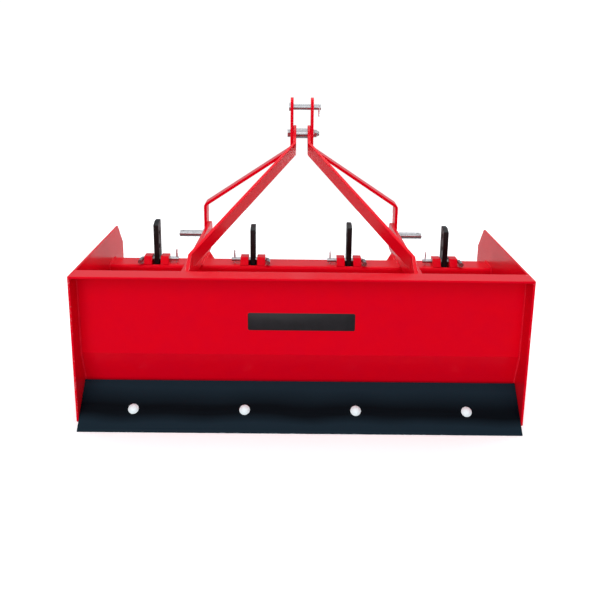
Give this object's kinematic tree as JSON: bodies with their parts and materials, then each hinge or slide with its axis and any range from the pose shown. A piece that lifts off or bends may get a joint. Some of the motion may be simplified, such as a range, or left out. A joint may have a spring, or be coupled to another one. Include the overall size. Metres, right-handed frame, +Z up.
{
  "type": "tractor grader blade",
  "caption": "Rear-mounted box blade for a small tractor: plate-steel box with front and rear cutting edges, toolbar of ripper shanks and a three-point hitch frame.",
  "frame": {"origin": "on the ground under the middle of the bounding box, cutting edges standing on the ground", "axes": "+X to the right along the cutting edges, +Y forward towards the tractor, +Z up"},
  "size_m": [1.219, 0.765, 0.843],
  "materials": {
    "red_paint": "gloss",
    "edge_steel": "satin",
    "shank_black": "satin",
    "zinc": "satin",
    "clip_zinc": "satin",
    "bolt_zinc": "satin"
  },
  "bodies": {
    "root": {"brace_left": "red_paint", "brace_right": "red_paint", "front_curve_plate": "red_paint", "front_cutting_edge": "edge_steel", "front_edge_bolts": "bolt_zinc", "hitch_gusset_left": "red_paint", "hitch_gusset_right": "red_paint", "hitch_plate_left": "red_paint", "hitch_plate_right": "red_paint", "lower_hitch_pin_left": "zinc", "lower_hitch_pin_right": "zinc", "lower_pin_nut_left": "zinc", "lower_pin_nut_right": "zinc", "mast_bar_left": "red_paint", "mast_bar_right": "red_paint", "mast_bolt": "zinc", "mast_spacer": "red_paint", "moldboard": "red_paint", "pin_clip_1": "clip_zinc", "pin_clip_2": "clip_zinc", "pin_clip_3": "clip_zinc", "pin_clip_4": "clip_zinc", "rear_cutting_edge": "edge_steel", "rear_edge_bolts": "bolt_zinc", "ripper_point_1": "shank_black", "ripper_point_2": "shank_black", "ripper_point_3": "shank_black", "ripper_point_4": "shank_black", "ripper_shank_1": "shank_black", "ripper_shank_2": "shank_black", "ripper_shank_3": "shank_black", "ripper_shank_4": "shank_black", "shank_holder_1": "red_paint", "shank_holder_2": "red_paint", "shank_holder_3": "red_paint", "shank_holder_4": "red_paint", "shank_pin_1": "zinc", "shank_pin_2": "zinc", "shank_pin_3": "zinc", "shank_pin_4": "zinc", "side_plate_left": "red_paint", "side_plate_right": "red_paint", "toolbar": "red_paint", "top_link_pin": "zinc", "top_pin_clip": "clip_zinc"}
  },
  "joints": []
}
